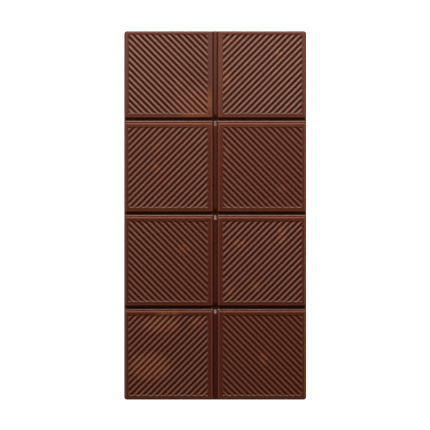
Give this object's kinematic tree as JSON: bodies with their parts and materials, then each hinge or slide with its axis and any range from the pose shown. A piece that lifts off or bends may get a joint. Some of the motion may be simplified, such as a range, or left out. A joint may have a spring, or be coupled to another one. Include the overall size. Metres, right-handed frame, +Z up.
{
  "type": "chocolate bar",
  "caption": "Flat moulded tablet of chocolate with break grooves between square tiles and fine diagonal ribs on each tile.",
  "frame": {"origin": "middle of the flat back, which lies on the ground", "axes": "+Z up out of the ribbed face, +Y along the tablet's length, +X across its width"},
  "size_m": [0.0768, 0.1554, 0.0069],
  "materials": {
    "chocolate": "satin"
  },
  "bodies": {
    "root": {"chocolate_bar": "chocolate"}
  },
  "joints": []
}
